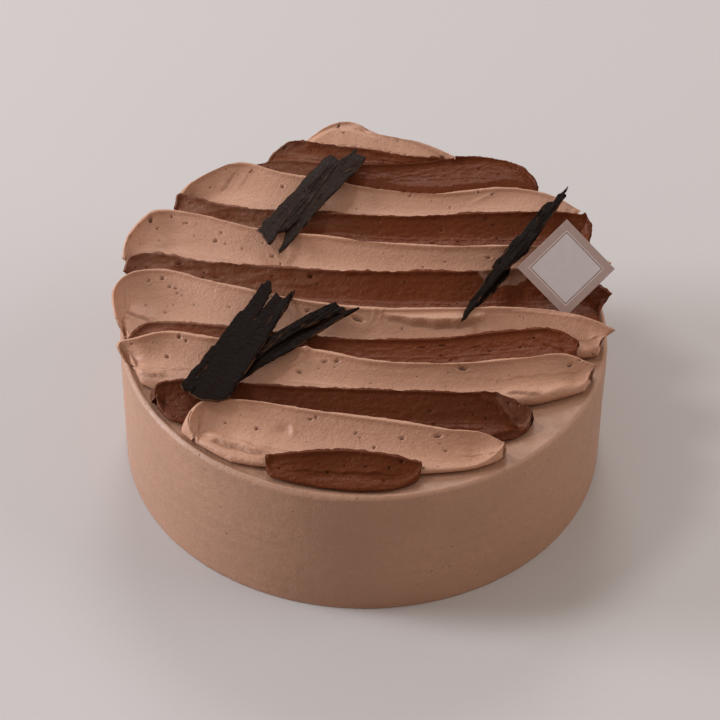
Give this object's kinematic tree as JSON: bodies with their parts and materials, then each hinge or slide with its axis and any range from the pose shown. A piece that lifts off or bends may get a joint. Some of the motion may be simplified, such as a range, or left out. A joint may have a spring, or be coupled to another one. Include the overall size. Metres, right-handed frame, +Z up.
{
  "type": "layer cake",
  "caption": "Round uncut cake in smooth chocolate cream, its top covered by overlapping knife strokes of light and dark cream, with chocolate flakes and a plain diamond card.",
  "frame": {"origin": "centre of the flat foot of the cake", "axes": "+Z up, +X along the cream strokes towards their pulled tips, -Y towards the front, where the shortest dark stroke lies"},
  "size_m": [0.1536, 0.153, 0.0719],
  "materials": {
    "coat_cream": "smooth satin cream with fine pores",
    "light_cream": "satin whipped cream with fine pores",
    "dark_cream": "moist chocolate cream, soft gloss",
    "chocolate": "dark chocolate, fine lengthwise grooves",
    "card": "pale frosted card with a taupe border"
  },
  "bodies": {
    "root": {"body": "coat_cream", "stroke_light_6": "light_cream", "stroke_dark_6a": "dark_cream", "stroke_dark_6b": "dark_cream", "stroke_light_5": "light_cream", "stroke_dark_5": "dark_cream", "stroke_light_4": "light_cream", "stroke_dark_4": "dark_cream", "stroke_light_3": "light_cream", "stroke_dark_3": "dark_cream", "stroke_light_2": "light_cream", "stroke_dark_2": "dark_cream", "stroke_light_1": "light_cream", "stroke_dark_1": "dark_cream", "flake_back_narrow": "chocolate", "flake_back_wide": "chocolate", "flake_front_wide": "chocolate", "flake_front_splinter": "chocolate", "flake_middle_wide": "chocolate", "flake_middle_narrow": "chocolate", "flake_right": "chocolate", "card": "card"}
  },
  "joints": []
}
